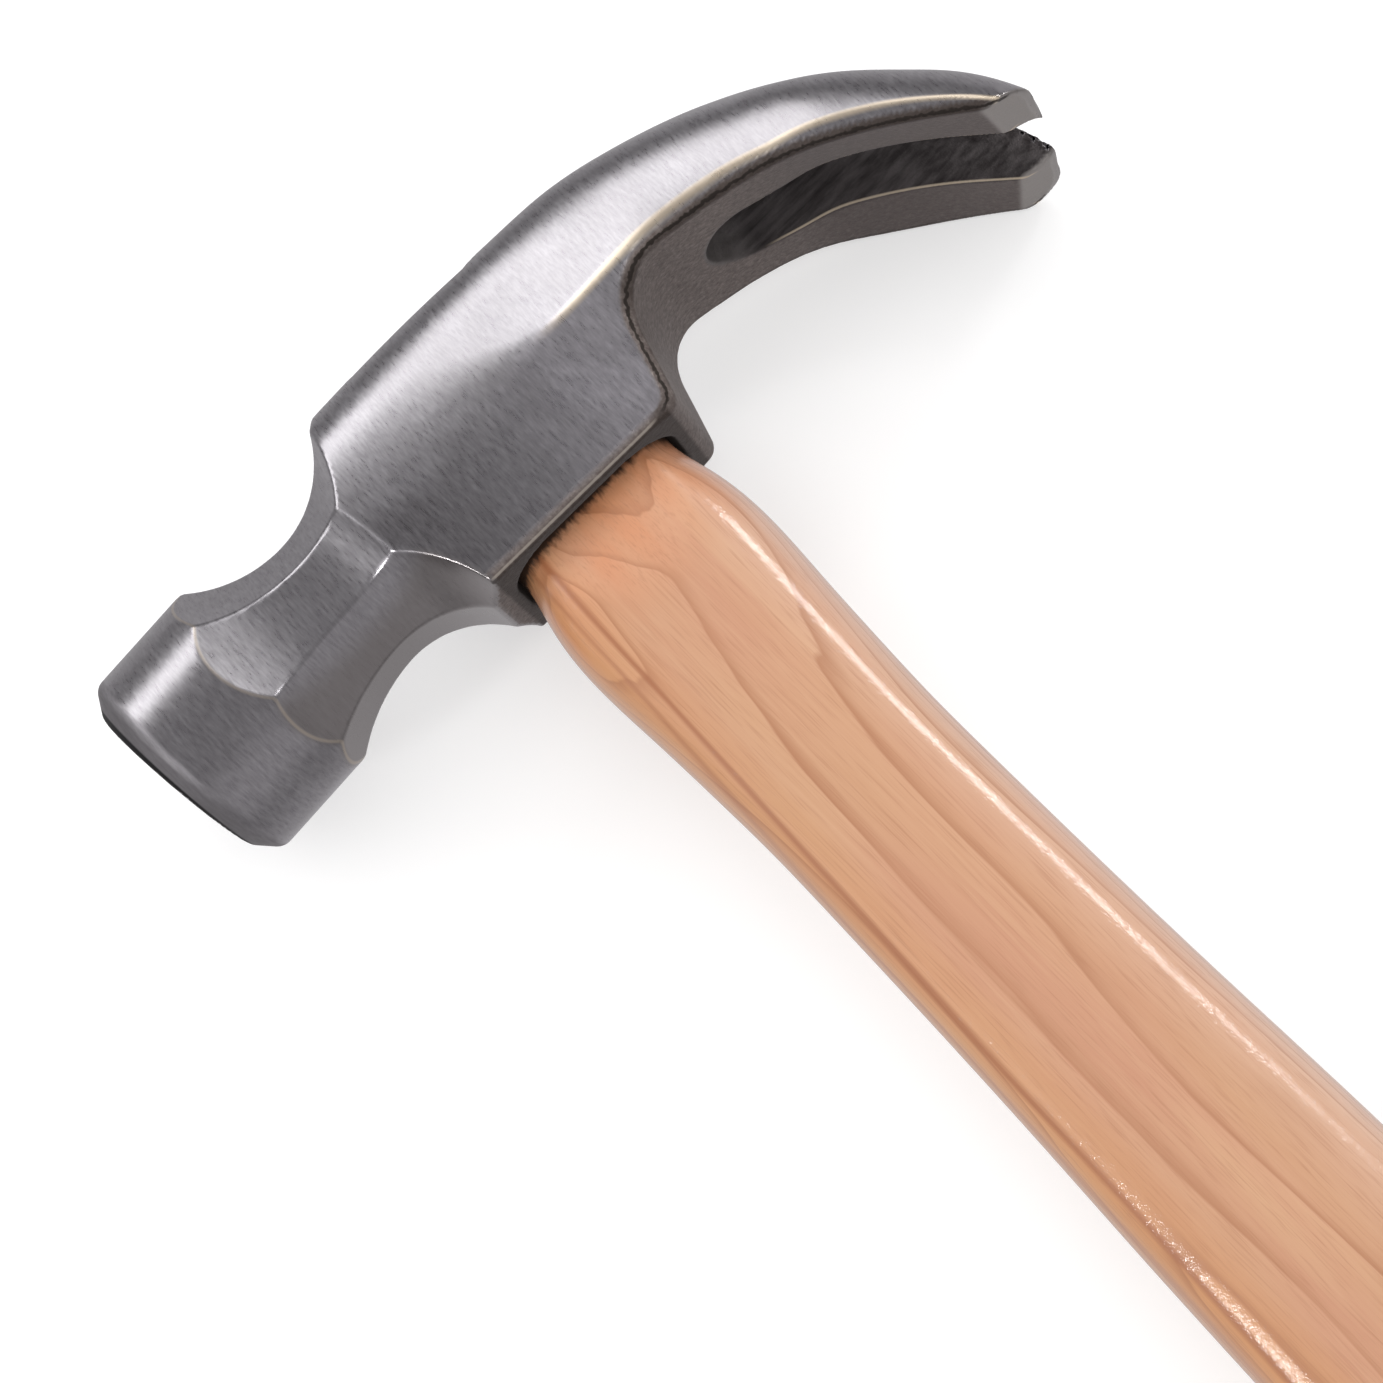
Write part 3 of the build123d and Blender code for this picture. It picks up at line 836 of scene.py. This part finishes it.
def hickory():
    """Lacquered flat-sawn hickory: growth rings round a pith below the handle, fibres along its length."""
    n = Nodes("hickory")
    x, y, z = n.axes()
    ripple = n.noise((0.30, 0.012, 0.30), 2.0, 0.5)
    fibre = n.noise((2.4, 0.04, 2.4), 3.0, 0.6)
    pore = n.noise((5.0, 0.12, 5.0), 2.0, 0.5)
    blotch = n.noise((0.07, 0.02, 0.07), 2.0, 0.5)
    late, early = growth_rings(n, x, y, z, ripple)
    colour = plain_hickory(n, x, blotch, fibre)
    orange = n.times(n.stretch(y, -30.0, -20.0), n.stretch(ripple, 0.35, 0.6, 0.25, 0.7))
    colour = n.mix(orange, colour, (0.54, 0.21, 0.09, 1))
    colour = n.mix(n.times(early, 0.13), colour, (0.38, 0.15, 0.065, 1))
    colour = n.mix(n.times(late, n.stretch(blotch, 0.3, 0.7, 0.75, 0.4)), colour, (0.34, 0.13, 0.055, 1))
    colour = n.mix(n.stretch(pore, 0.52, 0.76, 0.0, 0.5), colour, (0.37, 0.16, 0.08, 1))
    colour = n.mix(n.times(dark_streak(n, x, y, ripple), 0.8), colour, (0.33, 0.115, 0.045, 1))
    # grime and painted shade where the wood goes into the eye
    colour = n.mix(gap_grime_and_shade(n, x, y), colour, (0.022, 0.013, 0.009, 1))
    normal = n.bump(n.plus(n.times(fibre, 0.7), n.times(pore, 0.3)), 0.06, 0.25)
    lacquer = n.bump(n.noise((1.6, 1.3, 1.6), 3.0, 0.65), 0.10, 0.6)
    coat = {"Coat_Weight": 0.8, "Coat_Roughness": 0.08, "Coat_Normal": lacquer}
    return n.finish(Base_Color=colour, Roughness=0.42, Normal=normal, **coat)


def wedge_wood():
    """Sawn hardwood seen mostly on its end grain."""
    n = Nodes("wedge_wood")
    fibre = n.noise((3.0, 0.2, 3.0), 3.0, 0.6)
    band = n.noise((0.5, 0.05, 3.0), 2.0, 0.5)
    colour = n.mix(fibre, (0.50, 0.27, 0.12, 1), (0.64, 0.40, 0.21, 1))
    colour = n.mix(n.stretch(band, 0.5, 0.7, 0.0, 0.6), colour, (0.34, 0.16, 0.07, 1))
    return n.finish(Base_Color=colour, Roughness=0.6, Normal=n.bump(fibre, 0.1, 0.5))


def wedge_steel():
    """Dull mild steel, dented by the punch that drove it."""
    n = Nodes("wedge_steel")
    grain = n.noise((2.5, 2.5, 2.5), 4.0, 0.6)
    dents = n.noise((0.8, 0.8, 0.8), 2.0, 0.5)
    colour = n.mix(grain, (0.16, 0.15, 0.145, 1), (0.36, 0.34, 0.33, 1))
    normal = n.bump(dents, 0.2, 0.6, n.bump(grain, 0.06, 0.6))
    rough = n.stretch(grain, 0.3, 0.7, 0.38, 0.55)
    return n.finish(Base_Color=colour, Metallic=1.0, Roughness=rough, Normal=normal)


def floor_material():
    n = Nodes("studio_floor")
    soft = n.noise((0.02, 0.02, 0.02), 2.0)
    colour = n.mix(soft, (0.51, 0.51, 0.51, 1), (0.53, 0.53, 0.53, 1))
    white = (1.0, 1.0, 1.0, 1.0)
    return n.finish(Base_Color=colour, Roughness=0.75, Emission_Color=white, Emission_Strength=0.52)


def dress(piece, material):
    piece.data.materials.clear()
    piece.data.materials.append(material)


def repaint(node, material):
    """Gives a CAD node that keeps its own shape a better material."""
    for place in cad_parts[node].material_slots:
        place.material = material


# ------------------------------------------------------------------ build

steel = forged_steel()
head = make_head()
dress(head, steel)
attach(head, "root")
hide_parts("hammer_head")

handle = make_handle()
cut_wedge_slots(handle)
dress(handle, hickory())
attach(handle, "root")
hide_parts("handle")
handle.visible_glossy = False

repaint("wood_wedge", wedge_wood())
driven = wedge_steel()
for side in ("poll", "claw"):
    repaint(f"steel_wedge_{side}_side", driven)

# ------------------------------------------------------------------ floor, light and camera


def make_floor():
    size = 3.0
    mesh = bpy.data.meshes.new("studio_floor")
    corners = [(-size, -size, 0), (size, -size, 0), (size, size, 0), (-size, size, 0)]
    mesh.from_pydata(corners, [], [(0, 1, 2, 3)])
    floor = bpy.data.objects.new("studio_floor", mesh)
    floor.location = (0, 0, cad_low.z)
    bpy.context.scene.collection.objects.link(floor)
    dress(floor, floor_material())
    floor.visible_glossy = False


def area_light(name, direction, distance, width, height, power, glossy=True):
    """A soft box facing the hammer's head from a direction."""
    target = Vector(to_frame((0.0, 0.0, 0.0)).tolist())
    away = Vector(direction).normalized()
    data = bpy.data.lights.new(name, "AREA")
    data.shape = "RECTANGLE"
    data.size = width
    data.size_y = height
    data.energy = power
    light = bpy.data.objects.new(name, data)
    light.location = target + away * distance
    light.rotation_euler = away.to_track_quat("Z", "Y").to_euler()
    light.visible_glossy = glossy
    bpy.context.scene.collection.objects.link(light)


def make_world():
    """Studio light by the angle round the head's length."""
    world = bpy.data.worlds.new("studio")
    world.use_nodes = True
    tree = world.node_tree
    direction = tree.nodes.new("ShaderNodeTexCoord").outputs["Generated"]
    split = tree.nodes.new("ShaderNodeSeparateXYZ")
    tree.links.new(direction, split.inputs[0])
    angle = tree.nodes.new("ShaderNodeMath")
    angle.operation = "ARCTAN2"
    tree.links.new(split.outputs["Y"], angle.inputs[0])
    tree.links.new(split.outputs["Z"], angle.inputs[1])
    part = tree.nodes.new("ShaderNodeMapRange")
    tree.links.new(angle.outputs[0], part.inputs[0])
    part.inputs[1].default_value = -math.pi
    part.inputs[2].default_value = math.pi
    shade = tree.nodes.new("ShaderNodeValToRGB")
    stops = shade.color_ramp.elements
    while len(stops) < len(WORLD_SHADES):
        stops.new(0.5)
    for stop, (degrees, value) in zip(stops, WORLD_SHADES):
        stop.position = (degrees + 180.0) / 360.0
        stop.color = (value, value * 0.98, value, 1.0)
    tree.links.new(part.outputs[0], shade.inputs[0])
    tree.links.new(shade.outputs[0], tree.nodes["Background"].inputs[0])
    bpy.context.scene.world = world


def make_camera():
    data = bpy.data.cameras.new("camera")
    data.sensor_width = 36.0
    data.sensor_height = 36.0
    data.sensor_fit = "HORIZONTAL"
    data.lens = CAMERA_LENS
    camera = bpy.data.objects.new("camera", data)
    camera.location = to_frame(CAMERA_PLACE)
    camera.rotation_euler = Euler([math.radians(a) for a in CAMERA_TURN], "XYZ")
    bpy.context.scene.collection.objects.link(camera)
    bpy.context.scene.camera = camera


make_floor()
area_light("key", (-0.30, 0.80, 0.54), 1.2, 1.6, 0.46, 6.0)
area_light("top_fill", (0.30, 0.15, 1.0), 1.5, 2.8, 2.8, 34.0, glossy=False)
area_light("claw_fill", (0.52, 0.64, 0.56), 1.2, 0.62, 0.46, 1.0)
area_light("edge_strip", (0.90, 0.20, 0.43), 1.2, 0.20, 0.13, 2.6)
area_light("low_strip", (-0.88, -0.06, 0.46), 1.2, 0.11, 0.24, 3.4)
make_world()
make_camera()
bpy.context.scene.view_settings.view_transform = "Standard"
